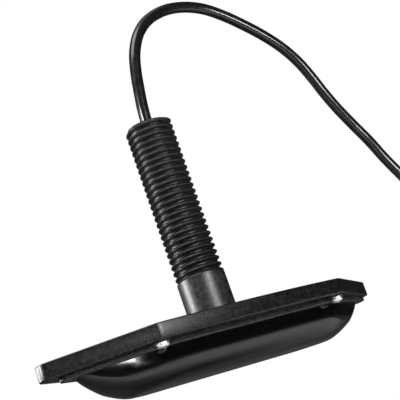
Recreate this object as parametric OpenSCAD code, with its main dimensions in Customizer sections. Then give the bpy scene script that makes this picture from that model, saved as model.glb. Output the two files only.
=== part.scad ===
// Through-hull sonar transducer: a threaded stem on a boat-shaped mounting plate,
// with a canoe-shaped pod under the plate that holds the sonar elements.
// The origin is the middle of the plate's top face, where it seats on the hull.
// Z runs up along the stem and X runs along the plate. All sizes are in millimetres.

/* [Mounting plate] */
// Length of the plate from tip to tip
plate_len = 235; // [231:1:248]
// Width of the plate across the middle of its bowed sides
plate_w = 94.8; // [92:0.2:104]
// How far each long side bows out past its shoulders
plate_bow = 3.9; // [1:0.1:5]
// Distance between the shoulders where the tapers begin
shoulder_len = 129; // [125:1:134]
// Width of the blunt tips
tip_w = 9; // [8:0.5:15]
// Thickness of the plate
plate_t = 9.2; // [8.6:0.2:14]
// Radius of the upright edges at the shoulders
shoulder_r = 8; // [3:0.5:12]
// Radius of the upright edges at the tips
tip_r = 6; // [2:0.5:7]
// Bevel round the lower edge of the plate
plate_bevel = 0.9; // [0.4:0.1:1.4]

/* [Stem] */
// Major diameter of the thread and diameter of the smooth shank
stem_d = 30; // [28:1:34]
// Height of the smooth shank above the plate
shank_h = 27; // [20:1:34]
// Height of the stem above the plate
stem_h = 129; // [110:1:150]
// Thread pitch
pitch = 4; // [3:0.5:5]
// Depth of the thread
thread_depth = 2; // [1.2:0.1:2.2]
// Diameter of the hole down the middle of the stem
stem_bore_d = 16; // [14:1:17]
// How far the foot under the plate stands out round the stem
foot_rim = 10; // [9:0.5:10.5]
// Thickness of the foot
foot_t = 4; // [3.6:0.1:4.4]

/* [Pod] */
// Shift of the pod along the plate, towards the stern
pod_shift = 4; // [0:0.5:5]
// Length of the pod at its flange
pod_len = 202.4; // [198:0.2:204]
// Width of the pod at its flange
pod_w = 66; // [64:1:70]
// Distance between the pod's shoulders
pod_mid = 115; // [113:1:118]
// Radius of the pod's ends in plan
nose_r = 9.6; // [8:0.1:12]
// Depth of the pod below the plate
pod_depth = 20.4; // [20:0.2:26]
// Length of the flat along the keel
keel_len = 144; // [140:1:148]
// Width of the flat along the keel
keel_w = 7.2; // [6.6:0.2:10]
// Height of the upright side walls above the round bilge
wall_h = 7.8; // [7:0.2:8.6]
// Wall thickness of the pod
pod_wall = 3.5; // [3.2:0.1:3.8]
// Thickness of the pod's flange
flange_t = 2.6; // [2.2:0.1:3.4]
// How far the flange stands out from the pod's wall
flange_lip = 3; // [2.5:0.1:3.4]
// How far the fixing holes stand in from the ends of the plate, on average
fix_in = 12; // [11:0.5:14]
// Diameter of the fixing holes
fix_d = 5; // [4:0.5:6]
// Radius of the rounded lugs round the fixing holes
lug_r = 5.2; // [4.6:0.1:6]

/* [Fasteners] */
// Distance between the pod screws along the plate
screw_span_x = 124; // [122:1:126]
// Distance between the pod screws across the plate
screw_span_y = 75; // [74:0.5:76]
// Thread diameter of the pod screws and the stem screws
screw_d = 4; // [3.5:0.5:4]
// Head diameter of the pod screws
head_d = 7.8; // [7.2:0.1:8.2]
// Head height of the pod screws
head_h = 3; // [2.6:0.1:3.4]
// Thickness of the tabs under the screw heads
tab_t = 1; // [0.8:0.1:1.5]
// Distance of the stem screws from the stem's side
stem_screw_out = 5.5; // [5.2:0.1:5.6]

/* [Sonar elements] */
// Length of the three bar elements
bar_len = 92; // [80:1:92]
// Height of a side bar's face
side_bar_w = 9; // [8:0.5:9]
// Thickness of a side bar
side_bar_t = 4; // [3:0.25:4]
// How far the side bars look down below the horizon
side_bar_tilt = 60; // [57:1:62]
// Width of the down-looking bar
down_bar_w = 8; // [6:0.5:8]
// Diameter of the round element
disc_d = 20; // [16:1:20]
// Thickness of the round element
disc_t = 3.5; // [2.5:0.5:3.5]

/* [Cable] */
// Diameter of the cable
cable_d = 7.5; // [6.5:0.5:8]
// Layers in the stored coil
coil_layers = 4; // [3:1:4]
// Radius of the innermost turn
coil_in_r = 30; // [30:1:34]
// Radius of the outermost turn
coil_out_r = 62; // [60:1:66]
// Diameter of the connector's shell
plug_d = 19; // [17:0.5:19]
// Length of the connector's shell
plug_len = 42; // [36:1:50]

/* [Hidden] */
$fn = 96;
eps = 0.02;
// Radial clearance of the stem in the plate, and of screws in their holes
stem_fit = 0.1;
screw_fit = 0.25;

// Plate
plate_bottom = -plate_t;
plate_corner_y = plate_w / 2 - plate_bow;
bow_r = (pow(shoulder_len / 2, 2) + pow(plate_bow, 2)) / (2 * plate_bow);
bow_steps = 12;

// Stem
stem_r = stem_d / 2;
stem_relief = 0.8;
root_r = stem_r - thread_depth;
thread_bottom = shank_h + pitch / 2;
thread_turns = floor((stem_h - 2 - thread_bottom) / pitch);
thread_top = thread_bottom + thread_turns * pitch;
foot_bottom = plate_bottom - foot_t;
foot_d = stem_d + 2 * foot_rim;
stem_screw_r = stem_r + stem_screw_out;
stem_screw_grip = 5;
seal_ring_in = stem_r + 0.5;
seal_ring_w = 1.8;
seal_ring_h = 2;
plug_depth = 10;
collar_h = 1.5;
collar_w = 2.2;
collar_fit = 0.3;

// Pod, in plan and in depth
pod_bottom = plate_bottom - pod_depth;
flange_bottom = plate_bottom - flange_t;
fix_span = plate_len - 2 * fix_in;
wall_bottom = plate_bottom - wall_h;
rake_power = 1.21;
bilge_power = 2.6;
end_power = 1.3;
end_share = 0.8;
bilge_steps = 12;
pod_shoulder_r = 36;
cavity_floor = pod_bottom + pod_wall + 0.3;
cavity_flat = 12;
seal_w = 2;
seal_h = 2;
seal_in = 0.5;
tab_r = head_d / 2 + 1.2;
tab_reach = 9.5;
head_fit = 0.2;
tab_bottom = plate_bottom - tab_t;
pod_screw_len = 6.5;
screw_blind = plate_t - 1.6;

// Array carrier and elements, in the pod's own plane of symmetry
side_bar_inset = 16;
side_bar_rise = 5.7;
side_bar_y = pod_w / 2 - side_bar_inset;
board_gap = 1.7;
board_t = 1.6;
board_w = 2 * side_bar_y + 4;
board_len = bar_len;
board_top = foot_bottom - board_gap;
board_screw_d = 2;
board_screw_grip = 3;
board_screw_head = 1.8 * board_screw_d;
board_screw_x = board_len / 2 - 4;
board_screw_y = board_w / 2 - 7;
carrier_top = board_top - board_t;
carrier_leg = 1.2;
side_bar_z = cavity_floor + side_bar_rise;
down_bar_h = 4;
backing_t = 1.5;
seat_h = 4.2;
disc_gap = 8;
disc_x = bar_len / 2 + disc_gap + disc_d / 2;
disc_seat_z = cavity_floor + seat_h;
disc_seat_r = disc_d / 2 - 1;
sensor_d = 6;
sensor_h = 5;
sensor_gap = 17;
sensor_x = -bar_len / 2 - sensor_gap - sensor_d / 2;
wire_d = 1.2;
wire_lap = 5;
transformer_d = 9;
transformer_h = 4.2;
transformer_x = board_len / 2 - 7 - transformer_d / 2;
transformer_y = 8;
capacitor_d = 6;
capacitor_h = 4.4;
capacitor_x = 1.5 + capacitor_d / 2 - board_len / 2;
capacitor_pitch = 6.5;
capacitor_clear = 0.6;
capacitor_room = board_screw_y - board_screw_head / 2 - capacitor_clear - capacitor_d / 2;
capacitor_count = 1 + floor(2 * capacitor_room / capacitor_pitch);
chip_w = 14;
chip_h = 1.2;
chip_x = 11;
core_d = 1.2;
core_count = 5;
core_r = 2.2;
core_len = 1;

// Cable: over from the stem's end, down past the plate's tip and into the coil on the floor
floor_z = -110;
tie_t = 1;
coil_z = floor_z + tie_t;
first_turn_z = coil_z + cable_d / 2;
last_turn_z = coil_z + (coil_layers - 0.5) * cable_d;
coil_x = 280;
coil_join = 22;
cable_sides = 12;
// Points over the top, measured from the stem's end
lead_over = [
    [0, 0, 0], [1, 0, 13], [3, 0, 26], [5.5, 0, 39], [9.5, 0, 52], [17, 0, 65],
    [28, 0, 75], [43, 0, 81.5], [59, 0, 83.5], [75, 0, 81.5], [90, 0, 75.5],
    [105, 0, 67], [119, 0, 57.5], [131, 0, 47], [140, 0, 35.5], [146.5, 0, 23],
    [152, 0, 10], [158.5, 0, -3], [167, 0, -17], [176, 0, -31], [183.5, -1, -47], [190, -4, -63]
];
// Points down to the coil, measured from where its outermost turn looks along the plate
lead_down = [
    [-75.5, 36, 107], [-73.5, 30, 91], [-71.5, 23.5, 75], [-69, 17.5, 59], [-65.5, 12, 43],
    [-60.5, 7.5, 28], [-53, 4.2, 14.5], [-43, 2.2, 5], [-31, 1.1, 0.6], [-coil_join, 0.6, 0]
];
lead_top = [for (p = lead_over) p + [0, 0, stem_h]];
lead_foot = [for (p = lead_down) p + [coil_x, -coil_out_r, first_turn_z]];
drop_from = lead_top[len(lead_top) - 1];
drop_steps = 3;
lead_route = concat(
    lead_top,
    [for (i = [1 : drop_steps - 1]) drop_from + (lead_foot[0] - drop_from) * i / drop_steps],
    lead_foot);
// The tail leaves the top layer and sinks to the connector on the floor
tail_in = 6.5;
tail_from = [coil_x - coil_join, coil_out_r, last_turn_z];
plug_at = [176, coil_out_r - tail_in, floor_z + plug_d / 2];
tail_steps = 6;
tail_route = [for (i = [0 : tail_steps])
    let (t = i / tail_steps, sink = t * t * (3 - 2 * t), way = plug_at - tail_from)
    tail_from + [way[0] * t, way[1] * sink, way[2] * sink]];
relief_len = 14;
plug_end = relief_len + plug_len;
insert_d = plug_d - 4;
insert_depth = 10;
insert_out = 4;
contact_count = 7;
contact_d = 1.8;
contact_len = 5;

// Points of a closed outline with its corners rounded: each corner is [x, y, radius].
function corner_arc(p, c, n, steps = 6) =
    let (r = c[2], u = p - [c[0], c[1]], v = n - [c[0], c[1]])
    let (a = u / norm(u), b = v / norm(v))
    let (half = acos(max(-1, min(1, a * b))) / 2)
    r <= 0 || half > 89.5 ? [[c[0], c[1]]] :
    let (reach = r / tan(half), mid = (a + b) / norm(a + b))
    let (centre = [c[0], c[1]] + mid * r / sin(half))
    let (s = [c[0], c[1]] + a * reach - centre, e = [c[0], c[1]] + b * reach - centre)
    let (from = atan2(s[1], s[0]), swing = atan2(s[0] * e[1] - s[1] * e[0], s * e))
    [for (i = [0 : steps]) centre + r * [cos(from + swing * i / steps), sin(from + swing * i / steps)]];

function rounded(corners) =
    let (n = len(corners))
    [for (i = [0 : n - 1])
        let (p = corners[(i + n - 1) % n], q = corners[(i + 1) % n])
        each corner_arc([p[0], p[1]], corners[i], [q[0], q[1]])];

// Half angle of a taper that leaves the shoulder [a, w] and touches an end circle of radius r.
function taper(a, w, reach, r) =
    atan2(w, reach - r - a) - asin(r / norm([reach - r - a, w]));

// Boat-shaped outline: straight middle, straight tapers and round ends.
function boat(a, w, reach, r, shoulder) =
    let (tip = a + w / tan(taper(a, w, reach, r)))
    rounded([[tip, 0, r], [a, w, shoulder], [-a, w, shoulder],
             [-tip, 0, r], [-a, -w, shoulder], [a, -w, shoulder]]);

// Outline of the plate, drawn in by an even margin.
function plate_outline(inset = 0) =
    let (a = shoulder_len / 2, w = plate_corner_y, reach = plate_len / 2, e = tip_w / 2)
    let (t = atan2(w - e, reach - a))
    let (ai = a - inset * tan(t / 2), wi = w - inset, ri = reach - inset)
    let (ei = e - inset * (1 - sin(t)) / cos(t))
    let (side = [for (i = [1 : bow_steps - 1])
        let (x = ai * (1 - 2 * i / bow_steps))
        [x, wi + sqrt(bow_r * bow_r - x * x) - sqrt(bow_r * bow_r - ai * ai), 0]])
    rounded(concat(
        [[ri, -ei, tip_r], [ri, ei, tip_r], [ai, wi, shoulder_r]], side,
        [[-ai, wi, shoulder_r], [-ri, ei, tip_r], [-ri, -ei, tip_r], [-ai, -wi, shoulder_r]],
        [for (p = side) [-p[0], -p[1], 0]], [[ai, -wi, shoulder_r]]));

// Closed solid through a stack of outlines with equal point counts, lowest first.
module loft(levels) {
    n = len(levels[0]);
    m = len(levels);
    polyhedron(
        points = [for (level = levels) each level],
        faces = concat(
            [[for (i = [0 : n - 1]) i]],
            [for (k = [0 : m - 2]) for (i = [0 : n - 1]) each
                let (a = k * n + i, b = k * n + (i + 1) % n)
                [[a, a + n, b], [b, a + n, b + n]]],
            [[for (i = [n - 1 : -1 : 0]) (m - 1) * n + i]]));
}

function at_height(outline, z) = [for (p = outline) [p[0], p[1], z]];

// How much of the plan is left at a depth of u, from 0 where it begins to 1 at the keel.
function drawn_in(u, power, keel) = keel + (1 - keel) * pow(max(0, 1 - pow(u, power)), 1 / power);

// Canoe form from the keel up to the given height, drawn in from the pod's outside.
// The ends rake from the flange down and grow blunter, the sides stay upright as far as the bilge.
module canoe(inset, top, keel_z, flat) {
    a = pod_mid / 2 - inset / 3;
    w = pod_w / 2 - inset;
    reach = pod_len / 2 - inset;
    rake_z = flange_bottom + inset / 4;
    wall_z = wall_bottom + inset / 4;
    end_r = nose_r - inset;
    blunt = 1 / sin(taper(a, w, reach, end_r)) - 1;
    loft(concat(
        [for (i = [0 : bilge_steps])
            let (u = cos(90 * i / bilge_steps), z = rake_z + (keel_z - rake_z) * u)
            let (v = max(0, (wall_z - z) / (wall_z - keel_z)))
            let (kx = drawn_in(u, rake_power, keel_len / pod_len))
            let (ky = drawn_in(v, bilge_power, flat / (2 * w)))
            let (r = min((end_r + reach * (1 - kx) / blunt) * pow(ky, end_power), end_share * w * ky))
            at_height(boat(a, w * ky, reach * kx, r, pod_shoulder_r * ky), z)],
        [at_height(boat(a, w, reach, end_r, pod_shoulder_r), top)]));
}

module in_pod() {
    translate([pod_shift, 0, 0]) children();
}

// Places of the pod screws; children that face inwards look from +Y towards the middle.
module at_pod_screws(inwards = false) {
    for (x = [-1, 1], y = [-1, 1])
        translate([x * screw_span_x / 2, y * screw_span_y / 2, 0])
            rotate(inwards && y < 0 ? 180 : 0) children();
}

module at_fixings() {
    for (x = [-1, 1])
        translate([pod_shift + x * fix_span / 2, 0, 0]) children();
}

module at_stem_screws() {
    for (a = [45 : 90 : 315])
        rotate(a) translate([stem_screw_r, 0, 0]) children();
}

module bore(d, bottom, top) {
    translate([0, 0, bottom]) cylinder(d = d, h = top - bottom);
}

// Outline of the flange, with its tab circles and end lugs.
function flange_outline(margin = 0) =
    boat((pod_mid + flange_lip - margin) / 2, pod_w / 2 + flange_lip - margin,
         fix_span / 2 + lug_r - margin, lug_r - margin, pod_shoulder_r);

// Closed groove for the pod's seal, between the cavity and the flange's edge.
module seal_track(height) {
    linear_extrude(height) difference() {
        polygon(boat(pod_mid / 2, pod_w / 2 - seal_in, pod_len / 2 - seal_in, nose_r - seal_in,
                     pod_shoulder_r));
        polygon(boat(pod_mid / 2 - seal_w / 3, pod_w / 2 - seal_in - seal_w,
                     pod_len / 2 - seal_in - seal_w, nose_r - seal_in - seal_w, pod_shoulder_r));
    }
}

module mounting_plate() {
    color([0.09, 0.09, 0.095]) difference() {
        loft([at_height(plate_outline(plate_bevel), plate_bottom),
              at_height(plate_outline(), plate_bottom + plate_bevel),
              at_height(plate_outline(), -plate_bevel / 2),
              at_height(plate_outline(plate_bevel / 2), 0)]);
        bore(stem_d + 2 * stem_fit, plate_bottom - 1, 1);
        at_fixings() bore(fix_d, plate_bottom - 1, 1);
        at_pod_screws() bore(screw_d, plate_bottom - 1, plate_bottom + screw_blind);
        at_stem_screws() bore(screw_d, plate_bottom - 1, plate_bottom + screw_blind);
        in_pod() translate([0, 0, plate_bottom - eps]) seal_track(seal_h + eps);
    }
}

// Half section of one thread turn, from root to root, with a rounded crest.
function thread_turn(z) = [
    [root_r, z + 0.1 * pitch], [stem_r - 0.55 * thread_depth, z + 0.27 * pitch],
    [stem_r - 0.15 * thread_depth, z + 0.38 * pitch], [stem_r - 0.04 * thread_depth, z + 0.44 * pitch],
    [stem_r, z + 0.5 * pitch],
    [stem_r - 0.04 * thread_depth, z + 0.56 * pitch], [stem_r - 0.15 * thread_depth, z + 0.62 * pitch],
    [stem_r - 0.55 * thread_depth, z + 0.73 * pitch], [root_r, z + 0.9 * pitch]
];

module threaded_stem() {
    bore_r = stem_bore_d / 2;
    color([0.13, 0.13, 0.135]) difference() {
        rotate_extrude() polygon(concat(
            [[bore_r, foot_bottom], [foot_d / 2, foot_bottom], [foot_d / 2, plate_bottom],
             [stem_r - stem_relief, plate_bottom], [stem_r - stem_relief, 0], [stem_r, 0],
             [stem_r, shank_h - 1], [root_r, shank_h + 0.6]],
            [for (i = [0 : thread_turns - 1]) each thread_turn(thread_bottom + i * pitch)],
            [[root_r, stem_h - 0.6], [root_r - 0.6, stem_h], [bore_r, stem_h]]));
        translate([0, 0, plate_bottom - seal_ring_h]) difference() {
            cylinder(r = seal_ring_in + seal_ring_w, h = seal_ring_h + 1);
            translate([0, 0, -1]) cylinder(r = seal_ring_in, h = seal_ring_h + 3);
        }
        at_stem_screws() {
            bore(screw_d + 2 * screw_fit, foot_bottom - 1, plate_bottom + 1);
            translate([0, 0, foot_bottom - eps])
                cylinder(d1 = 2 * screw_d, d2 = screw_d, h = screw_d / 2);
        }
    }
}

module stem_seal_ring() {
    color([0.05, 0.05, 0.05]) translate([0, 0, plate_bottom - seal_ring_h]) difference() {
        cylinder(r = seal_ring_in + seal_ring_w, h = seal_ring_h);
        translate([0, 0, -1]) cylinder(r = seal_ring_in, h = seal_ring_h + 2);
    }
}

module stem_screws() {
    color([0.75, 0.75, 0.77]) at_stem_screws() translate([0, 0, foot_bottom]) {
        cylinder(d1 = 2 * screw_d - 2 * screw_fit, d2 = screw_d - 2 * screw_fit, h = screw_d / 2);
        cylinder(d = screw_d - 2 * screw_fit, h = foot_t + stem_screw_grip);
        translate([0, 0, foot_t]) cylinder(d = screw_d, h = stem_screw_grip);
    }
}

module stem_plug() {
    color([0.04, 0.04, 0.04]) difference() {
        union() {
            bore(stem_bore_d, stem_h - plug_depth, stem_h);
            translate([0, 0, stem_h])
                cylinder(d1 = cable_d + 2 * collar_w, d2 = cable_d + collar_w, h = collar_h);
        }
        bore(cable_d, stem_h - plug_depth - 1, stem_h + 1);
        bore(cable_d + 2 * collar_fit, stem_h, stem_h + collar_h + 1);
    }
}

module stem_potting() {
    color([0.2, 0.18, 0.15]) difference() {
        bore(stem_bore_d, foot_bottom + core_len, stem_h - plug_depth);
        bore(cable_d, foot_bottom, stem_h);
    }
}

module pod_shell() {
    color([0.035, 0.035, 0.04]) difference() {
        union() {
            difference() {
                union() {
                    in_pod() canoe(0, plate_bottom - 0.4, pod_bottom, keel_w);
                    in_pod() translate([0, 0, flange_bottom])
                        linear_extrude(flange_t) polygon(flange_outline());
                    at_pod_screws(true) translate([0, 0, tab_bottom]) linear_extrude(tab_t) {
                        circle(tab_r);
                        translate([-tab_r, -tab_reach]) square([2 * tab_r, tab_reach]);
                    }
                }
                in_pod() canoe(pod_wall, plate_bottom + 1, cavity_floor, cavity_flat);
            }
            in_pod() translate([disc_x, 0, 0])
                bore(2 * disc_seat_r, cavity_floor, disc_seat_z);
            in_pod() translate([sensor_x, 0, 0])
                bore(sensor_d + 4, cavity_floor, disc_seat_z);
        }
        at_pod_screws() {
            bore(screw_d + 2 * screw_fit, tab_bottom - 1, plate_bottom + 1);
            bore(head_d + 2 * head_fit, flange_bottom - 2, tab_bottom);
        }
        at_fixings() bore(fix_d, flange_bottom - 1, plate_bottom + 1);
    }
}

module pod_seal() {
    color([0.06, 0.06, 0.06]) in_pod() translate([0, 0, plate_bottom]) seal_track(seal_h);
}

// Pan-head screw that hangs head down from its tab.
module pan_screw(d, head, height, length) {
    rotate_extrude() polygon([
        [0, -height], [head * 0.28, -height], [head * 0.42, -height * 0.86],
        [head * 0.48, -height * 0.6], [head / 2, -height * 0.3], [head / 2, 0],
        [d / 2, 0], [d / 2, length], [0, length]]);
}

module pod_screws() {
    slot_d = head_d * 0.28;
    color([0.8, 0.8, 0.82]) at_pod_screws() translate([0, 0, tab_bottom]) difference() {
        pan_screw(screw_d, head_d, head_h, tab_t + pod_screw_len);
        for (a = [0, 90])
            rotate(a) translate([-slot_d, -head_d * 0.06, -head_h - 1])
                cube([2 * slot_d, head_d * 0.12, 1 + head_h * 0.45]);
    }
}

// Half width of the carrier where it meets a side bar's inner face: [low y, low z, high y, high z].
function bar_seat() =
    let (n = [cos(side_bar_tilt), -sin(side_bar_tilt)], d = [sin(side_bar_tilt), cos(side_bar_tilt)])
    let (mid = [side_bar_y, side_bar_z] - n * side_bar_t / 2)
    [mid - d * side_bar_w / 2, mid + d * side_bar_w / 2];

module array_carrier() {
    seat = bar_seat();
    channel = down_bar_w / 2;
    half = [[channel, cavity_floor], [channel + carrier_leg, cavity_floor], seat[0], seat[1],
            [seat[1][0] - 0.6, carrier_top]];
    left = [for (i = [len(half) - 1 : -1 : 0]) [-half[i][0], half[i][1]]];
    channel_top = cavity_floor + down_bar_h + backing_t;
    color([0.55, 0.5, 0.4]) in_pod() difference() {
        translate([-bar_len / 2, 0, 0]) rotate([90, 0, 90]) linear_extrude(bar_len)
            polygon(concat(half, left, [[-channel, channel_top], [channel, channel_top]]));
        for (x = [-1, 1], y = [-1, 1])
            translate([x * board_screw_x, y * board_screw_y, 0])
                bore(board_screw_d, carrier_top - board_screw_grip, carrier_top + 1);
    }
}

module side_bar(side) {
    color([0.72, 0.68, 0.55]) in_pod()
        translate([0, side * side_bar_y, side_bar_z]) rotate([side * (90 - side_bar_tilt), 0, 0])
            cube([bar_len, side_bar_w, side_bar_t], center = true);
}

module port_scan_bar() {
    side_bar(-1);
}

module starboard_scan_bar() {
    side_bar(1);
}

module down_scan_bar() {
    color([0.72, 0.68, 0.55]) in_pod()
        translate([-bar_len / 2, -down_bar_w / 2, cavity_floor]) cube([bar_len, down_bar_w, down_bar_h]);
}

module down_bar_backing() {
    color([0.35, 0.25, 0.15]) in_pod()
        translate([-bar_len / 2, -down_bar_w / 2, cavity_floor + down_bar_h])
            cube([bar_len, down_bar_w, backing_t]);
}

module sonar_disc() {
    color([0.72, 0.68, 0.55]) in_pod()
        translate([disc_x, 0, disc_seat_z]) cylinder(d = disc_d, h = disc_t);
}

module disc_backing() {
    color([0.35, 0.25, 0.15]) in_pod()
        translate([disc_x, 0, disc_seat_z + disc_t]) cylinder(d = disc_d, h = backing_t);
}

module temperature_sensor() {
    color([0.1, 0.1, 0.12]) in_pod()
        translate([sensor_x, 0, disc_seat_z]) cylinder(d = sensor_d, h = sensor_h);
}

// Insulated wire that rises from an element and runs along the board's top to its end.
module element_lead(x, y, bottom, board_end) {
    lead_z = board_top + wire_d / 2;
    translate([x, y, 0]) bore(wire_d, bottom, lead_z);
    translate([x, y, lead_z]) sphere(d = wire_d);
    translate([min(x, board_end), y, lead_z]) rotate([0, 90, 0])
        cylinder(d = wire_d, h = abs(board_end - x));
}

module element_leads() {
    color([0.6, 0.1, 0.1]) in_pod() for (side = [-1, 1]) {
        element_lead(disc_x - disc_d / 4, side * disc_d / 6, disc_seat_z + disc_t + backing_t,
                     board_len / 2 - wire_lap);
        element_lead(sensor_x, side * sensor_d / 5, disc_seat_z + sensor_h, 1 - board_len / 2);
    }
}

module circuit_board() {
    color([0.05, 0.3, 0.12]) in_pod() difference() {
        translate([-board_len / 2, -board_w / 2, carrier_top]) cube([board_len, board_w, board_t]);
        for (x = [-1, 1], y = [-1, 1])
            translate([x * board_screw_x, y * board_screw_y, 0])
                bore(board_screw_d + 2 * head_fit, carrier_top - 1, board_top + 1);
    }
}

module board_screws() {
    color([0.8, 0.8, 0.82]) in_pod() for (x = [-1, 1], y = [-1, 1])
        translate([x * board_screw_x, y * board_screw_y, board_top]) {
            cylinder(d = board_screw_head, h = 1.4);
            translate([0, 0, -board_t - board_screw_grip])
                cylinder(d = board_screw_d, h = board_t + board_screw_grip + eps);
        }
}

module matching_transformers() {
    color([0.25, 0.25, 0.28]) in_pod() for (y = [-1, 1])
        translate([transformer_x, y * transformer_y, board_top]) difference() {
            cylinder(d = transformer_d, h = transformer_h);
            translate([0, 0, 1]) cylinder(d = transformer_d / 2.6, h = transformer_h);
        }
}

module capacitors() {
    color([0.15, 0.2, 0.45]) in_pod() for (i = [0 : capacitor_count - 1])
        translate([capacitor_x, (i - (capacitor_count - 1) / 2) * capacitor_pitch, board_top])
            cylinder(d = capacitor_d, h = capacitor_h);
}

module signal_chip() {
    color([0.06, 0.06, 0.07]) in_pod()
        translate([chip_x, -chip_w / 2, board_top]) cube([chip_w, chip_w, chip_h]);
}

module cable_inner() {
    color([0.03, 0.03, 0.03]) bore(cable_d, foot_bottom + core_len, stem_h);
}

module cable_cores() {
    color([0.75, 0.4, 0.15]) for (i = [0 : core_count - 1])
        rotate(360 * i / core_count) translate([core_r, 0, 0])
            bore(core_d, board_top, foot_bottom + core_len);
}

// Tube of the cable swept through route points, one ring square to the path at each point.
function unit(v) = v / norm(v);

module swept_tube(route, d) {
    n = len(route);
    dirs = [for (i = [0 : n - 1]) unit(route[min(n - 1, i + 1)] - route[max(0, i - 1)])];
    points = [for (i = [0 : n - 1])
        let (side = unit([0, 1, 0] - dirs[i][1] * dirs[i]), up = cross(dirs[i], side))
        for (k = [0 : cable_sides - 1])
            let (a = 360 * k / cable_sides)
            route[i] + d / 2 * (cos(a) * side + sin(a) * up)];
    s = cable_sides;
    polyhedron(points = points, faces = concat(
        [[for (k = [s - 1 : -1 : 0]) k]],
        [for (i = [0 : n - 2]) for (k = [0 : s - 1]) each
            let (a = i * s + k, b = i * s + (k + 1) % s)
            [[a, b, a + s], [b, b + s, a + s]]],
        [[for (k = [0 : s - 1]) (n - 1) * s + k]]));
}

module cable_lead() {
    color([0.03, 0.03, 0.03]) difference() {
        swept_tube(lead_route, cable_d);
        translate([0, 0, stem_h - 2]) cylinder(d = 3 * cable_d, h = 2);
        coil_body();
    }
}

module cable_tail() {
    color([0.03, 0.03, 0.03]) difference() {
        swept_tube(tail_route, cable_d);
        along_plug() cylinder(d = 3 * cable_d, h = relief_len);
        coil_body();
    }
}

module coil_section(margin) {
    polygon(rounded([
        [coil_in_r - cable_d / 2 - margin, coil_z - margin, 2 + margin],
        [coil_out_r + cable_d / 2 + margin, coil_z - margin, 2 + margin],
        [coil_out_r + cable_d / 2 + margin, coil_z + coil_layers * cable_d + margin, 2 + margin],
        [coil_in_r - cable_d / 2 - margin, coil_z + coil_layers * cable_d + margin, 2 + margin]]));
}

module coil_body() {
    translate([coil_x, 0, 0]) rotate_extrude() coil_section(0);
}

module cable_coil() {
    color([0.03, 0.03, 0.03]) coil_body();
}

module cable_tie() {
    tie_w = 10;
    color([0.1, 0.1, 0.1]) translate([coil_x, 0, 0]) rotate(-atan2(tie_w, 2 * coil_out_r))
        rotate_extrude(angle = 2 * atan2(tie_w, 2 * coil_out_r)) difference() {
            coil_section(tie_t);
            coil_section(0);
        }
}

module along_plug() {
    translate(plug_at) rotate([0, -90, 0]) children();
}

module connector_shell() {
    color([0.05, 0.05, 0.055]) along_plug() difference() {
        rotate_extrude() polygon([
            [0, 0], [cable_d / 2 + 0.8, 0], [plug_d / 2 - 2.5, relief_len], [plug_d / 2, relief_len + 2],
            [plug_d / 2, plug_end - 1], [plug_d / 2 - 1, plug_end], [0, plug_end]]);
        translate([0, 0, plug_end - insert_depth]) cylinder(d = insert_d, h = insert_depth + 1);
    }
}

module at_contacts() {
    for (i = [0 : contact_count - 1])
        rotate(360 * i / contact_count) translate([insert_d / 3.2, 0, plug_end + insert_out - contact_len])
            children();
}

module connector_insert() {
    color([0.15, 0.15, 0.16]) along_plug() difference() {
        translate([0, 0, plug_end - insert_depth]) cylinder(d = insert_d, h = insert_depth + insert_out);
        at_contacts() cylinder(d = contact_d, h = contact_len + 1);
    }
}

module connector_contacts() {
    color([0.85, 0.7, 0.3]) along_plug() at_contacts() difference() {
        cylinder(d = contact_d, h = contact_len);
        translate([0, 0, 1]) cylinder(d = contact_d / 2, h = contact_len);
    }
}

mounting_plate();
threaded_stem();
stem_seal_ring();
stem_screws();
stem_plug();
stem_potting();
pod_shell();
pod_seal();
pod_screws();
array_carrier();
port_scan_bar();
starboard_scan_bar();
down_scan_bar();
down_bar_backing();
sonar_disc();
disc_backing();
temperature_sensor();
element_leads();
circuit_board();
board_screws();
matching_transformers();
capacitors();
signal_chip();
cable_inner();
cable_cores();
cable_lead();
cable_coil();
cable_tail();
cable_tie();
connector_shell();
connector_insert();
connector_contacts();
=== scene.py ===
"""Through-hull sonar transducer: plate, threaded stem, glossy pod and cable, in metres."""
import logging
import math
from dataclasses import dataclass
from enum import Enum
from typing import Callable, Iterable, Sequence

import bpy
from mathutils import Matrix, Vector


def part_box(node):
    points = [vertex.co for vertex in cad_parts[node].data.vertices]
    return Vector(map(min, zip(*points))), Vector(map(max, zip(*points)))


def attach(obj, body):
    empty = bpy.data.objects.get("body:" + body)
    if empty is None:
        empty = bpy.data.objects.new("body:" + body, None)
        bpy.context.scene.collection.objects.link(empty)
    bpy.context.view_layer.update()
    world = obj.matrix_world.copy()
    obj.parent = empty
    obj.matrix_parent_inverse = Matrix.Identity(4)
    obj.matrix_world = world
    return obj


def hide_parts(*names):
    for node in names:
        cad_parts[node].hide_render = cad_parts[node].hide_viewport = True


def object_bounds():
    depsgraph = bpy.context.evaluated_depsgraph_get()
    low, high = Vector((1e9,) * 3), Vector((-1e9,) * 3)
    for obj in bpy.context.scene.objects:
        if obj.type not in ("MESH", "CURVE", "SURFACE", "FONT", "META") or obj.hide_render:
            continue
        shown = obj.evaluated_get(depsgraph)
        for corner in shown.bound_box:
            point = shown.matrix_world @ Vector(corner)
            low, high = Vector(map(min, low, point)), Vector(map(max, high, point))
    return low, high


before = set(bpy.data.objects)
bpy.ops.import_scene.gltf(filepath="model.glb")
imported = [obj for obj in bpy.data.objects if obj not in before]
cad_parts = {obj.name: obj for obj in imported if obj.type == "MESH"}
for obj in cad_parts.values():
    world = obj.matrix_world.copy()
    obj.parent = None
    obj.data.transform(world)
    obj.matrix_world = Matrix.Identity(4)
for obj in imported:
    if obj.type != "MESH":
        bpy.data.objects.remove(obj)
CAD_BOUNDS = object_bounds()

log = logging.getLogger("transducer")

Flat = tuple[float, float]
Spot = tuple[float, float, float]
Ring = list[Vector]
Piece = bpy.types.Object
Socket = bpy.types.NodeSocket

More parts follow.
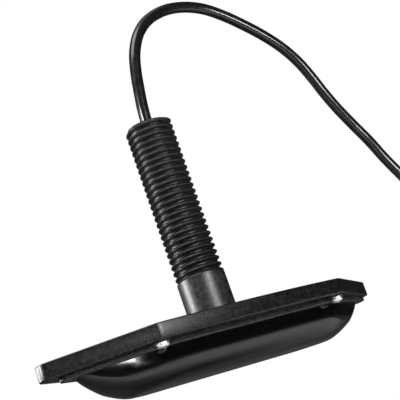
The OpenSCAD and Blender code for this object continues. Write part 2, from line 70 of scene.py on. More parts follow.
WHITE = (1.0, 1.0, 1.0, 1.0)
# How far a cutting tool stands out of what it cuts
CLEAR = 0.001
# How far a round edge's middle point lies from both faces, as a share of the radius
ROUND = 0.3


class Edge(Enum):
    """How a finished mesh shades across its edges: the widest angle that stays smooth, in degrees."""

    SOFT = 60.0
    CRISP = 32.0


class Slot(Enum):
    """Material slots of the record, one named with each finished piece."""

    PLATE = "plate_plastic"
    STEM = "stem_plastic"
    SEAL = "seal_rubber"
    POD = "pod_plastic"
    STEEL = "stainless"
    JACKET = "cable_jacket"
    TIE = "tie_fabric"
    PLUG = "plug_plastic"
    INSERT = "insert_plastic"


class NodeSheet:
    """A material's node tree, with the few nodes that the finishes need."""

    def __init__(self, name: str) -> None:
        """Start a material with one Principled shader.

        Args:
            name: name of the material.
        """
        self.material = bpy.data.materials.new(name)
        self.material.use_nodes = True
        self.tree = self.material.node_tree
        self.shader = self.tree.nodes["Principled BSDF"]
        self.place = self.add("ShaderNodeTexCoord").outputs["Object"]

    def add(self, kind: str, **values: object) -> bpy.types.Node:
        """Add a node of the given type and feed its inputs."""
        return self.feed(self.tree.nodes.new(kind), **values)

    def feed(self, node: bpy.types.Node, **values: object) -> bpy.types.Node:
        """Set a node's inputs to constants, or join them to other nodes.

        Args:
            node: the node.
            values: a constant or another node's socket for each input, with _ for a space in its name.

        Returns:
            The node.
        """
        for name, value in values.items():
            target = node.inputs[name.replace("_", " ")]
            if isinstance(value, Socket):
                self.tree.links.new(value, target)
            else:
                target.default_value = value
        return node

    def dress(self, **values: object) -> None:
        """Feed the inputs of the shader."""
        self.feed(self.shader, **values)

    def noise(self, scale: float, detail: float = 3.0, place: Socket | None = None) -> Socket:
        """Add a noise texture.

        Args:
            scale: cells per metre.
            detail: octaves of finer noise.
            place: coordinates, where they aren't the object's own.

        Returns:
            The socket with the noise value.
        """
        where = self.place if place is None else place
        return self.add("ShaderNodeTexNoise", Vector=where, Scale=scale, Detail=detail).outputs["Fac"]

    def ramp(self, source: Socket, low: Spot | float, high: Spot | float,
             span: Flat = (0.35, 0.65)) -> Socket:
        """Turn a value into a blend of two colours or two numbers.

        Args:
            source: the value that picks the blend.
            low: colour or number at the low end.
            high: colour or number at the high end.
            span: values where the blend begins and ends.

        Returns:
            The socket with the blended colour, or with the number.
        """
        if isinstance(low, float):
            first, last = span
            node = self.add("ShaderNodeMapRange", Value=source, From_Min=first, From_Max=last,
                            To_Min=low, To_Max=high)
            return node.outputs["Result"]
        node = self.add("ShaderNodeValToRGB", Fac=source)
        for stop, place, colour in zip(node.color_ramp.elements, span, (low, high)):
            stop.position = place
            stop.color = (*colour, 1.0)
        return node.outputs["Color"]

    def bump(self, height: Socket, depth: float, strength: float, under: Socket | None = None) -> Socket:
        """Add a bump map.

        Args:
            height: the value that is the height.
            depth: height in metres of a full step.
            strength: share of the effect.
            under: normal of a coarser bump below this one.

        Returns:
            The socket with the bumped normal.
        """
        node = self.add("ShaderNodeBump", Height=height, Distance=depth, Strength=strength)
        if under is not None:
            self.feed(node, Normal=under)
        return node.outputs["Normal"]


@dataclass(frozen=True)
class Finish:
    """A finish that wanders between a darker and a lighter tone."""

    name: str
    dark: Spot
    light: Spot

    def material(self) -> bpy.types.Material:
        """Build the finish's material.

        Returns:
            The material.
        """
        sheet = NodeSheet(self.name)
        self.dress(sheet)
        return sheet.material

    def dress(self, sheet: NodeSheet) -> None:
        """Draw the finish on a material's sheet."""
        raise NotImplementedError


@dataclass(frozen=True)
class MouldedFinish(Finish):
    """A moulded plastic, resin or rubber: mottled colour, uneven gloss and a fine skin."""

    smooth: float
    rough: float
    mottle: float = 90.0
    gloss_cells: float = 2.7
    grain: float = 2600.0
    grain_depth: float = 0.00006
    grain_strength: float = 0.25
    swell: float = 0.0
    swell_cells: float = 70.0
    specular: float = 0.5

    def dress(self, sheet: NodeSheet) -> None:
        """Draw the mottle, the gloss and the skin.

        Args:
            sheet: the material's sheet.
        """
        under = None
        if self.swell > 0:
            under = sheet.bump(sheet.noise(self.swell_cells, detail=1.0), self.swell, strength=1.0)
        gloss = sheet.noise(self.mottle * self.gloss_cells)
        grain = sheet.noise(self.grain, detail=2.0)
        sheet.dress(Specular_IOR_Level=self.specular,
                    Base_Color=sheet.ramp(sheet.noise(self.mottle), self.dark, self.light),
                    Roughness=sheet.ramp(gloss, self.smooth, self.rough),
                    Normal=sheet.bump(grain, self.grain_depth, self.grain_strength, under))


@dataclass(frozen=True)
class FloorFinish(Finish):
    """A pale studio floor that shows lighter than the light it gives back."""

    smooth: float
    rough: float
    patches: float = 3.0
    glow: float = 0.55

    def dress(self, sheet: NodeSheet) -> None:
        """Draw the patches and the glow.

        Args:
            sheet: the material's sheet.
        """
        patches = sheet.noise(self.patches)
        shown = sheet.add("ShaderNodeLightPath").outputs["Is Camera Ray"]
        sheet.dress(Base_Color=sheet.ramp(patches, self.dark, self.light),
                    Roughness=sheet.ramp(patches, self.smooth, self.rough), Emission_Color=WHITE,
                    Emission_Strength=sheet.ramp(shown, 0.0, self.glow, (0.0, 1.0)))


@dataclass(frozen=True)
class MetalFinish(Finish):
    """A bare metal with fine tool marks and a slightly uneven polish."""

    smooth: float
    rough: float
    marks: float = 900.0
    marks_stretch: Spot = (1, 1, 9)
    marks_depth: float = 0.00003
    marks_strength: float = 0.2
    polish: float = 400.0

    def dress(self, sheet: NodeSheet) -> None:
        """Draw the marks and the polish.

        Args:
            sheet: the material's sheet.
        """
        drawn = sheet.add("ShaderNodeMapping", Vector=sheet.place, Scale=self.marks_stretch)
        marks = sheet.noise(self.marks, detail=2.0, place=drawn.outputs["Vector"])
        sheet.dress(Metallic=1.0, Base_Color=sheet.ramp(marks, self.dark, self.light),
                    Roughness=sheet.ramp(sheet.noise(self.polish), self.smooth, self.rough),
                    Normal=sheet.bump(marks, self.marks_depth, self.marks_strength))


@dataclass(frozen=True)
class WovenFinish(Finish):
    """Woven strap with ribs across it and fuzz."""

    rough: float = 0.85
    sheen: float = 0.3
    ribs: float = 320.0
    ribs_waver: float = 0.4
    ribs_depth: float = 0.0003
    ribs_strength: float = 0.6
    ribs_span: Flat = (0.2, 0.8)
    fuzz: float = 3000.0
    fuzz_depth: float = 0.0001
    fuzz_strength: float = 0.5

    def dress(self, sheet: NodeSheet) -> None:
        """Draw the ribs and the fuzz.

        Args:
            sheet: the material's sheet.
        """
        weave = sheet.add("ShaderNodeTexWave", Vector=sheet.place, Scale=self.ribs,
                          Distortion=self.ribs_waver)
        weave.bands_direction = "Z"
        ribs = weave.outputs["Fac"]
        fuzz = sheet.bump(sheet.noise(self.fuzz), self.fuzz_depth, self.fuzz_strength)
        sheet.dress(Roughness=self.rough, Sheen_Weight=self.sheen,
                    Base_Color=sheet.ramp(ribs, self.dark, self.light, self.ribs_span),
                    Normal=sheet.bump(ribs, self.ribs_depth, self.ribs_strength, fuzz))


class Finishes:
    """Every finish of the transducer, each made once and kept."""

    PLATE = MouldedFinish("plate_grain", (0.0, 0.0, 0.0), (0.0105, 0.0102, 0.01), 0.25, 0.38,
                          mottle=430.0, grain=1000.0, grain_depth=0.0001, grain_strength=0.12, specular=0.36)
    SEAT = MouldedFinish("seat_matt", (0.005, 0.005, 0.005), (0.014, 0.0137, 0.0134), 0.6, 0.75,
                         mottle=430.0, grain=1000.0, grain_depth=0.0001, grain_strength=0.3, specular=0.25)
    STEM = MouldedFinish("stem_satin", (0.004, 0.004, 0.0043), (0.009, 0.009, 0.0093), 0.32, 0.44,
                         mottle=260.0, grain=1800.0, grain_depth=0.0001, grain_strength=0.1)
    # The shank's lighter tone is painted light, the light falling on the stem between its highlights; its
    # mottle is the plastic's own.
    SHANK_PAINTED_LIGHT = MouldedFinish("shank_painted_light", (0.004, 0.0039, 0.0038), (0.034, 0.0325, 0.031), 0.31, 0.48,
                          mottle=500.0, grain=1000.0, grain_depth=0.0002, grain_strength=0.15)
    POD = MouldedFinish("pod_gloss", (0.0035, 0.0035, 0.004), (0.005, 0.005, 0.0055), 0.05, 0.09,
                        grain=500.0, grain_depth=0.00001, grain_strength=0.1, swell=0.00002)
    # The flange's lighter tone is painted light, the grey band that light makes on the flange and lugs; its
    # satin gloss is its own.
    FLANGE_PAINTED_LIGHT = MouldedFinish("flange_satin_painted_light", (0.015, 0.015, 0.015), (0.045, 0.045, 0.046), 0.32, 0.44,
                           mottle=430.0, grain=1000.0, grain_depth=0.0001, grain_strength=0.12)
    JACKET = MouldedFinish("jacket_gloss", (0.004, 0.004, 0.004), (0.007, 0.007, 0.007), 0.14, 0.22,
                           grain=700.0, grain_depth=0.00002, grain_strength=0.08)
    SEAL = MouldedFinish("seal_rubber", (0.006, 0.006, 0.006), (0.014, 0.014, 0.014), 0.4, 0.65)
    STEEL = MetalFinish("stainless_bright", (0.62, 0.62, 0.64), (0.85, 0.85, 0.86), 0.3, 0.42)
    TIE = WovenFinish("tie_weave", (0.006, 0.006, 0.007), (0.03, 0.03, 0.032))
    PLUG = MouldedFinish("plug_grain", (0.01, 0.01, 0.011), (0.02, 0.02, 0.021), 0.42, 0.58)
    INSERT = MouldedFinish("insert_grey", (0.06, 0.06, 0.065), (0.09, 0.09, 0.095), 0.45, 0.6)
    GOLD = MetalFinish("contact_gold", (0.72, 0.5, 0.16), (0.9, 0.68, 0.3), 0.2, 0.32)
    POTTING = MouldedFinish("potting_resin", (0.03, 0.026, 0.022), (0.06, 0.052, 0.044), 0.3, 0.5)
    CARRIER = MouldedFinish("carrier_foam", (0.36, 0.31, 0.24), (0.5, 0.45, 0.36), 0.7, 0.9)
    CERAMIC = MouldedFinish("fired_ceramic", (0.55, 0.51, 0.4), (0.68, 0.64, 0.52), 0.4, 0.6)
    BACKING = MouldedFinish("cork_sheet", (0.18, 0.11, 0.06), (0.36, 0.25, 0.15), 0.7, 0.9, mottle=600.0)
    CASE = MouldedFinish("black_case", (0.015, 0.015, 0.017), (0.03, 0.03, 0.033), 0.4, 0.6)
    SLEEVE = MouldedFinish("red_sleeve", (0.35, 0.03, 0.03), (0.5, 0.05, 0.05), 0.3, 0.45)
    BOARD = MouldedFinish("solder_mask", (0.015, 0.15, 0.06), (0.03, 0.24, 0.1), 0.25, 0.4)
    FERRITE = MouldedFinish("ferrite", (0.06, 0.06, 0.065), (0.12, 0.12, 0.125), 0.5, 0.7)
    CAN = MetalFinish("capacitor_can", (0.3, 0.33, 0.5), (0.42, 0.45, 0.6), 0.3, 0.45)
    COPPER = MetalFinish("tinned_copper", (0.62, 0.3, 0.16), (0.78, 0.44, 0.26), 0.25, 0.4)
    FLOOR = FloorFinish("pale_floor", (0.5, 0.5, 0.5), (0.54, 0.54, 0.54), 0.75, 0.85)

    _made: dict[str, bpy.types.Material] = {}

    @classmethod
    def get(cls, finish: Finish) -> bpy.types.Material:
        """Return the finish's material, made at the first call.

        Args:
            finish: the finish.

        Returns:
            Its material.
        """
        if finish.name not in cls._made:
            cls._made[finish.name] = finish.material()
        return cls._made[finish.name]


class Draft:
    """Angles, points and outlines, the outlines in plan and with rounded corners."""

    STRAIGHT = math.radians(89.5)
    MITRE = 0.3

    @staticmethod
    def around(sides: int) -> list[float]:
        """Angles of a full turn in even steps."""
        return [2 * math.pi * i / sides for i in range(sides)]

    @staticmethod
    def quarter(steps: int) -> list[float]:
        """Angles of a quarter turn in even steps, with both ends."""
        return [math.pi / 2 * k / steps for k in range(steps + 1)]

    @staticmethod
    def polar(radius: float, turn: float, z: float) -> Vector:
        """Point at a radius and an angle about Z, and at a height."""
        return Vector((radius * math.cos(turn), radius * math.sin(turn), z))

    @staticmethod
    def ease(share: float) -> float:
        """Share of a way that starts and stops gently."""
        return share * share * (3 - 2 * share)

    @staticmethod
    def doubled(half: Sequence[Spot]) -> list[Spot]:
        """Add to half an outline the same half turned round the middle."""
        return [*half, *((-x, -y, radius) for x, y, radius in half)]

    @staticmethod
    def rounded(corners: Sequence[Spot], steps: int = 14) -> list[Vector]:
        """Round the corners of a closed outline.

        Args:
            corners: x, y and radius of each corner, counter-clockwise.
            steps: pieces of each corner's arc.

        Returns:
            The outline's points.
        """
        outline: list[Vector] = []
        for i, (x, y, radius) in enumerate(corners):
            here = Vector((x, y))
            to_last = (Vector(corners[i - 1][:2]) - here).normalized()
            to_next = (Vector(corners[(i + 1) % len(corners)][:2]) - here).normalized()
            half = to_last.angle(to_next) / 2
            if radius <= 0 or half > Draft.STRAIGHT:
                outline.append(here)
                continue
            centre = here + (to_last + to_next).normalized() * (radius / math.sin(half))
            start = here + to_last * (radius / math.tan(half)) - centre
            end = here + to_next * (radius / math.tan(half)) - centre
            begin = math.atan2(start.y, start.x)
            swing = math.atan2(start.x * end.y - start.y * end.x, start.dot(end))
            for k in range(steps + 1):
                turn = begin + swing * k / steps
                outline.append(centre + radius * Vector((math.cos(turn), math.sin(turn))))
        return outline

    @staticmethod
    def taper(middle: float, half_width: float, reach: float, nose: float) -> float:
        """Half angle of a taper that leaves the shoulder and touches the round end."""
        run = reach - nose - middle
        return math.atan2(half_width, run) - math.asin(nose / math.hypot(run, half_width))

    @staticmethod
    def boat(middle: float, half_width: float, reach: float, nose: float, shoulder: float) -> list[Vector]:
        """Draw a boat shape: straight middle, straight tapers and round ends.

        Args:
            middle: half length of the straight middle.
            half_width: half width of the middle.
            reach: half length over the round ends.
            nose: radius of the ends.
            shoulder: radius of the shoulders.

        Returns:
            The outline's points.
        """
        tip = middle + half_width / math.tan(Draft.taper(middle, half_width, reach, nose))
        return Draft.rounded(Draft.doubled([(tip, 0, nose), (middle, half_width, shoulder),
                                            (-middle, half_width, shoulder)]))

    @staticmethod
    def inset(outline: Sequence[Vector], margin: float) -> list[Vector]:
        """Draw a closed outline in by an even margin.

        Args:
            outline: points, counter-clockwise.
            margin: how far each side moves inwards.

        Returns:
            The moved points.
        """
        moved: list[Vector] = []
        for i, here in enumerate(outline):
            a = (here - outline[i - 1]).normalized()
            b = (outline[(i + 1) % len(outline)] - here).normalized()
            mean = Vector((-(a.y + b.y), a.x + b.x)).normalized()
            moved.append(here + mean * (margin / max(Draft.MITRE, mean.dot(Vector((-a.y, a.x))))))
        return moved


class Shape:
    """Meshes made from rings of points, and the steps that finish them."""

    SUPPORT = 0.0004

    @staticmethod
    def stand(name: str, data: bpy.types.ID) -> Piece:
        """Put a new object into the scene.

        Args:
            name: name of the object.
            data: its mesh, light or camera.

        Returns:
            The object.
        """
        made = bpy.data.objects.new(name, data)
        bpy.context.scene.collection.objects.link(made)
        return made

    @staticmethod
    def mesh(name: str, points: Sequence[Spot], faces: Sequence[tuple[int, ...]]) -> Piece:
        """Make an object from points and faces.

        Args:
            name: name of the object.
            points: its points.
            faces: numbers of each face's points.

        Returns:
            The object.
        """
        mesh = bpy.data.meshes.new(name)
        mesh.from_pydata(points, [], faces)
        return Shape.stand(name, mesh)

    @staticmethod
    def at(outline: Iterable[Vector], z: float) -> Ring:
        """Lift an outline to a height."""
        return [Vector((p.x, p.y, z)) for p in outline]

    @staticmethod
    def loft(name: str, rings: Sequence[Ring], closed: bool = False) -> Piece:
        """Skin a stack of rings with equal counts.

        Args:
            name: name of the new object.
            rings: rings of points, from the bottom up and counter-clockwise.
            closed: whether the last ring joins the first, as in a tube wall.

        Returns:
            The new object.
        """
        count, last = len(rings[0]), len(rings) - 1
        faces: list[tuple[int, ...]] = []
        for k in range(len(rings) if closed else last):
            low, high = k * count, ((k + 1) % len(rings)) * count
            for i in range(count):
                j = (i + 1) % count
                faces.append((low + i, low + j, high + j, high + i))
        if not closed:
            faces.append(tuple(reversed(range(count))))
            faces.append(tuple(last * count + i for i in range(count)))
        return Shape.mesh(name, [tuple(p) for ring in rings for p in ring], faces)

    @staticmethod
    def turned(name: str, profile: Sequence[Flat], sides: int) -> Piece:
        """Turn a profile about Z.

        Args:
            name: name of the new object.
            profile: radius and height of each point, from the bottom up.
            sides: sides of the round.

        Returns:
            The new object.
        """
        turns = Draft.around(sides)
        return Shape.loft(name, [[Draft.polar(r, turn, z) for turn in turns] for r, z in profile])

    @staticmethod
    def slab(name: str, outline: Sequence[Vector], span: Flat, bevels: Flat, steps: int = 4) -> Piece:
        """Extrude an outline with rounded lower and upper edges.

        Args:
            name: name of the new object.
            outline: points in plan, counter-clockwise.
            span: lower and upper height.
            bevels: radius of the lower and of the upper edge.
            steps: pieces of each edge's round.

        Returns:
            The new object.
        """
        (bottom, top), (low, high), turns = span, bevels, Draft.quarter(steps)
        levels = [(bottom, low + Shape.SUPPORT)]
        levels += [(bottom + low * (1 - math.cos(t)), low * (1 - math.sin(t))) for t in turns]
        levels += [(top - high * (1 - math.sin(t)), high * (1 - math.cos(t))) for t in turns]
        levels.append((top, high + Shape.SUPPORT))
        return Shape.loft(name, [Shape.at(Draft.inset(outline, margin), z) for z, margin in levels])

    @staticmethod
    def cut(body: Piece, tools: Sequence[Piece], keep: bool = False) -> None:
        """Cut tools out of a body, or join them to it, and delete the tools.

        Args:
            body: the object that changes.
            tools: objects that are cut away or joined.
            keep: whether the tools are joined to the body.
        """
        for tool in tools:
            step = body.modifiers.new("cut", "BOOLEAN")
            step.operation = "UNION" if keep else "DIFFERENCE"
            step.solver = "EXACT"
            step.object = tool
        graph = bpy.context.evaluated_depsgraph_get()
        mesh = bpy.data.meshes.new_from_object(body.evaluated_get(graph))
        body.modifiers.clear()
        body.data = mesh
        for tool in tools:
            bpy.data.objects.remove(tool)

    @staticmethod
    def join(name: str, parts: Sequence[Piece]) -> Piece:
        """Gather several objects' meshes into one object.

        Args:
            name: name of the joined object.
            parts: objects to gather, which are deleted.

        Returns:
            The joined object.
        """
        points: list[Spot] = []
        faces: list[tuple[int, ...]] = []
        for part in parts:
            start = len(points)
            points += [tuple(part.matrix_world @ v.co) for v in part.data.vertices]
            faces += [tuple(start + i for i in face.vertices) for face in part.data.polygons]
            bpy.data.objects.remove(part)
        return Shape.mesh(name, points, faces)

    @staticmethod
    def shade(body: Piece, edge: Edge) -> None:
        """Shade a mesh smoothly up to the given edge angle."""
        body.data.shade_smooth()
        body.data.set_sharp_from_angle(angle=math.radians(edge.value))

    @staticmethod
    def patch(body: Piece, finish: Finish, chosen: Callable[[bpy.types.MeshPolygon], bool]) -> None:
        """Give some faces of a piece a finish of their own.

        Args:
            body: the finished piece.
            finish: the faces' finish.
            chosen: whether a face takes it.
        """
        body.data.materials.append(Finishes.get(finish))
        for face in body.data.polygons:
            face.material_index = int(chosen(face))

    @staticmethod
    def finish(body: Piece, finish: Finish, slot: Slot, *replaced: str, edge: Edge = Edge.CRISP) -> Piece:
        """Shade, dress and mount a finished piece.

        Args:
            body: the piece.
            finish: its finish.
            slot: not used.
            replaced: CAD nodes that it stands for.
            edge: how it shades across its edges.

        Returns:
            The piece.
        """
        Shape.shade(body, edge)
        body.data.materials.clear()
        body.data.materials.append(Finishes.get(finish))
        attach(body, "root")
        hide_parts(*replaced)
        log.info("made %s with %d faces", body.name, len(body.data.polygons))
        return body


@dataclass
class PhotoCamera:
    """Camera at the photograph's viewing angle."""

    azimuth: float = -35.43
    elevation: float = -14.15
    roll: float = -19.57
    distance: float = 0.63174
    target: Spot = (0.01891, 0.0, 0.07565)
    lens: float = 91.34
    sensor: float = 36.0
    clip: Flat = (0.01, 50.0)

    def build(self) -> None:
        """Place the camera and make it the scene's own."""
        turn, rise, lean = (math.radians(v) for v in (self.azimuth, self.elevation, self.roll))
        back = Vector((math.sin(turn) * math.cos(rise), -math.cos(turn) * math.cos(rise), math.sin(rise)))
        side = (-back).cross(Vector((0, 0, 1))).normalized()
        up = side.cross(-back)
        right = side * math.cos(lean) + up * math.sin(lean)
        above = up * math.cos(lean) - side * math.sin(lean)
        pose = Matrix((right, above, back)).transposed().to_4x4()
        pose.translation = Vector(self.target) + back * self.distance
        data = bpy.data.cameras.new("photo_camera")
        data.lens, data.sensor_width = self.lens, self.sensor
        data.clip_start, data.clip_end = self.clip
        camera = Shape.stand("photo_camera", data)
        camera.matrix_world = pose
        bpy.context.scene.camera = camera


class Flag(Enum):
    """Studio flags, which keep a light on some pieces alone or off them."""

    ONLY = "INCLUDE"
    SPARE = "EXCLUDE"

    def gather(self, name: str, pieces: Sequence[Piece]) -> bpy.types.Collection:
        """Gather the pieces that the flag is for.

        Args:
            name: name of the flag.
            pieces: the pieces.

        Returns:
            The flag's collection.
        """
        flag = bpy.data.collections.new(name)
        for piece in pieces:
            flag.objects.link(piece)
        for held in flag.collection_objects:
            held.light_linking.link_state = self.value
        return flag


@dataclass
class Softbox:
    """A soft area light that looks at a point and doesn't show itself."""

    name: str
    place: Spot
    aim: Spot
    size: Flat
    power: float
    spread: float = 180.0

    def build(self, flag: Flag, pieces: Sequence[Piece], shadowless: Sequence[Piece] = ()) -> None:
        """Add the light to the scene.

        Args:
            flag: whether the light is for the pieces alone or spares them.
            pieces: the pieces that the flag is for.
            shadowless: pieces that throw no shadow in this light.
        """
        data = bpy.data.lights.new(self.name, "AREA")
        data.shape = "RECTANGLE"
        data.size, data.size_y = self.size
        data.spread = math.radians(self.spread)
        data.energy = self.power
        light = Shape.stand(self.name, data)
        light.visible_camera = False
        light.location = self.place
        light.rotation_mode = "QUATERNION"
        light.rotation_quaternion = (Vector(self.aim) - Vector(self.place)).to_track_quat("-Z", "Y")
        light.light_linking.receiver_collection = flag.gather(self.name + "_flag", pieces)
        if shadowless:
            light.light_linking.blocker_collection = Flag.SPARE.gather(self.name + "_shadowless", shadowless)


@dataclass
class Studio:
    """Pale floor, white surround and soft lights."""

    floor_z: float = CAD_BOUNDS[0][2]
    floor_half: float = 4.0
    floor_corner: float = 0.3
    floor_thickness: float = 0.02
    floor_edge: float = 0.002
    surround: float = 1.0
    fill: float = 0.02
    overhead: float = 0.4
    overhead_spread: float = 50.0
    aim_middle: Spot = (0.02, 0.0, 0.05)
    aim_tip: Spot = (-0.075, -0.02, -0.012)
    aim_rise: Spot = (0.003, 0.0, 0.15)
    aim_fall: Spot = (0.12, 0.0, 0.185)
    aim_floor: Spot = (0.0, -0.13483, 0.0)

    def build(self, plate: Piece, stem: Piece, pod: Piece, cable: Sequence[Piece]) -> None:
        """Build the floor, the world and the lights.

        Args:
            plate: the plate, which the cable's own lights leave out.
            stem: the stem, which the lights from the side, the rear and the back leave out.
            pod: the glossy pod, which mirrors only some of the lights.
            cable: the cable and what is on it, which throw no shadow under the low strip.
        """
        floor = self._floor()
        self._world()
        self._overhead()
        middle, body = self.aim_middle, [plate, stem, pod]
        for light, spared in (
            (Softbox("left_softbox", (-1.02, 0.58, 0.35), middle, (0.42, 0.55), 26.0), []),
            (Softbox("front_softbox", (0.04, -1.2, 0.3), middle, (0.5, 0.45), 14.5), [pod]),
            (Softbox("side_softbox", (-0.88, -0.92, 0.21), middle, (0.3, 0.3), 0.5), [pod, stem]),
            (Softbox("rear_softbox", (-0.6, 1.15, 0.19), middle, (0.3, 0.4), 5.5), [stem]),
            (Softbox("top_softbox", (-0.44, -0.22, 1.14), middle, (0.9, 0.6), 9.0), [pod]),
            (Softbox("back_softbox", (-0.43, 0.7, 1.05), middle, (0.6, 0.5), 10.0), [stem, *cable]),
            (Softbox("catch_light", (-0.806, -0.96, 0.092), self.aim_tip, (0.07, 0.05), 0.5), []),
            (Softbox("rise_light", (-1.1, -0.11, 0.52), self.aim_rise, (0.4, 0.4), 18.0), body),
            (Softbox("fall_light", (0.267, -0.745, -0.057), self.aim_fall, (0.16, 0.12), 2.6), body),
        ):
            light.build(Flag.SPARE, [floor, *spared])
        strip = Softbox("front_strip", (0.0, -0.1, 0.13), self.aim_floor, (0.8, 0.13), 2.1, spread=120.0)
        strip.build(Flag.ONLY, [floor], shadowless=cable)

    def _overhead(self) -> None:
        """Hang a wide soft light over the floor."""
        data = bpy.data.lights.new("overhead", "SUN")
        data.energy = self.overhead
        data.angle = math.radians(self.overhead_spread)
        Shape.stand("overhead", data)

    def _floor(self) -> Piece:
        """Lay the floor just under the lowest point of the model.

        Returns:
            The floor.
        """
        half, corner = self.floor_half, self.floor_corner
        outline = Draft.rounded(Draft.doubled([(half, -half, corner), (half, half, corner)]))
        floor = Shape.slab("floor", outline, (self.floor_z - self.floor_thickness, self.floor_z),
                           (self.floor_edge, self.floor_edge))
        Shape.shade(floor, Edge.CRISP)
        floor.data.materials.append(Finishes.get(Finishes.FLOOR))
        return floor

    def _world(self) -> None:
        """Make a white surround that lights the object more gently than it shows."""
        world = bpy.data.worlds.new("studio")
        world.use_nodes = True
        nodes, links = world.node_tree.nodes, world.node_tree.links
        shown, lit = nodes["Background"], nodes.new("ShaderNodeBackground")
        for node, strength in ((shown, self.surround), (lit, self.fill)):
            node.inputs["Color"].default_value = WHITE
            node.inputs["Strength"].default_value = strength
        path = nodes.new("ShaderNodeLightPath")
        mix = nodes.new("ShaderNodeMixShader")
        links.new(path.outputs["Is Camera Ray"], mix.inputs["Fac"])
        links.new(lit.outputs["Background"], mix.inputs[1])
        links.new(shown.outputs["Background"], mix.inputs[2])
        links.new(mix.outputs["Shader"], nodes["World Output"].inputs["Surface"])
        bpy.context.scene.world = world
        bpy.context.scene.view_settings.view_transform = "Standard"


@dataclass
class Cable:
    """The cable: up out of the stem, over, down to the floor, into a tied coil and to its connector."""

    diameter: float = 0.0075
    sides: int = 20
    coil_x: float = 0.280
    outer: float = 0.062
    inner: float = 0.030
    layers: int = 4
    layer_turns: float = 4.25
    climb_turns: float = 0.5
    turn_points: int = 40
    floor_gap: float = 0.001
    lead: tuple[Spot, ...] = (
        (0.0, 0.0, 0.129), (0.001, 0.0, 0.142), (0.003, 0.0, 0.155), (0.0055, 0.0, 0.168),
        (0.0095, 0.0, 0.181), (0.017, 0.0, 0.194), (0.028, 0.0, 0.204), (0.043, 0.0, 0.2105),
        (0.059, 0.0, 0.2125), (0.075, 0.0, 0.2105), (0.090, 0.0, 0.2045), (0.105, 0.0, 0.196),
        (0.119, 0.0, 0.1865), (0.131, 0.0, 0.176), (0.140, 0.0, 0.1645), (0.1465, 0.0, 0.152),
        (0.152, 0.0, 0.139), (0.1585, 0.0, 0.126), (0.167, 0.0, 0.112), (0.176, 0.0, 0.098),
        (0.1835, -0.001, 0.082), (0.190, -0.004, 0.066), (0.1948, -0.0113, 0.0446), (0.1997, -0.0187, 0.0232),
        (0.2045, -0.026, 0.00175), (0.2065, -0.032, -0.01425), (0.2085, -0.0385, -0.03025),
        (0.211, -0.0445, -0.04625), (0.2145, -0.050, -0.06225), (0.2195, -0.0545, -0.07725),
        (0.227, -0.0578, -0.09075), (0.237, -0.0598, -0.10025), (0.249, -0.0609, -0.10465),
        (0.258, -0.0614, -0.10525), (0.269, -0.0618, -0.10525),
    )
    lead_step: float = 0.003
    coil_join: float = 0.022
    tail_points: int = 6
    tail_step: float = 0.004

    def __post_init__(self) -> None:
        """Work out the heights that follow from the floor."""
        self.first_z = CAD_BOUNDS[0][2] + self.floor_gap + self.diameter / 2
        self.last_z = self.first_z + (self.layers - 1) * self.diameter

    def build(self, with_pieces: Sequence[Piece]) -> Piece:
        """Args:
            with_pieces: the pieces at its far end and on its coil.

        Returns:
            The cable.
        """
        lead = self.smooth([Vector(spot) for spot in self.lead], self.lead_step)
        route = lead + self._coil() + self.smooth(self._tail(), self.tail_step)
        body = Shape.loft("cable", self.sweep(route, self.diameter / 2, self.sides))
        Shape.finish(body, Finishes.JACKET, Slot.JACKET, "cable_lead", "cable_coil", "cable_tail",
                     edge=Edge.SOFT)
        for piece in (body, *with_pieces):
            piece.visible_glossy = False
        return body

    def _coil(self) -> list[Vector]:
        """Wind the coil: layers that run in and out in turn, with a climb between them.

        Returns:
            The coil's centreline, from its first turn on the floor to its last on top.
        """
        points: list[Vector] = []
        angle = -math.pi / 2
        height = self.first_z
        steps = int(self.layer_turns * self.turn_points)
        climb_steps = int(self.climb_turns * self.turn_points)
        for layer in range(self.layers):
            start, end = (self.outer, self.inner) if layer % 2 == 0 else (self.inner, self.outer)
            for share in (k / steps for k in range(steps + 1)):
                points.append(self._on_turn(angle + share * self.layer_turns * 2 * math.pi,
                                            start + (end - start) * share, height))
            angle += self.layer_turns * 2 * math.pi
            if layer == self.layers - 1:
                break
            for share in (k / climb_steps for k in range(1, climb_steps)):
                points.append(self._on_turn(angle + share * self.climb_turns * 2 * math.pi, end,
                                            height + Draft.ease(share) * self.diameter))
            angle += self.climb_turns * 2 * math.pi
            height += self.diameter
        return points

    def _on_turn(self, angle: float, radius: float, z: float) -> Vector:
        """Return the point of a turn at an angle about the coil's middle."""
        return Vector((self.coil_x + radius * math.cos(angle), radius * math.sin(angle), z))

    def _tail(self) -> list[Vector]:
        """Lead the cable from the coil's top layer down to the connector.

        Returns:
            Points of the tail.
        """
        start = Vector((self.coil_x - self.coil_join, self.outer, self.last_z))
        way = Connector.entry() - start
        points = [Vector((self.coil_x - self.coil_join / 2, self.outer, self.last_z))]
        for share in (k / self.tail_points for k in range(self.tail_points + 1)):
            sink = Draft.ease(share)
            points.append(start + Vector((way.x * share, way.y * sink, way.z * sink)))
        return points

    @staticmethod
    def smooth(points: Sequence[Vector], step: float) -> list[Vector]:
        """Run a smooth curve through points.

        Args:
            points: points that the curve passes.
            step: greatest distance between the curve's own points.

        Returns:
            The curve's points.
        """
        curve: list[Vector] = [points[0].copy()]
        for i in range(len(points) - 1):
            before = points[max(0, i - 1)]
            a, b = points[i], points[i + 1]
            after = points[min(len(points) - 1, i + 2)]
            pieces = max(1, math.ceil((b - a).length / step))
            for t in (k / pieces for k in range(1, pieces + 1)):
                curve.append(0.5 * (2 * a + (b - before) * t + (2 * before - 5 * a + 4 * b - after) * t * t
                                    + (3 * a - before - 3 * b + after) * t ** 3))
        return curve

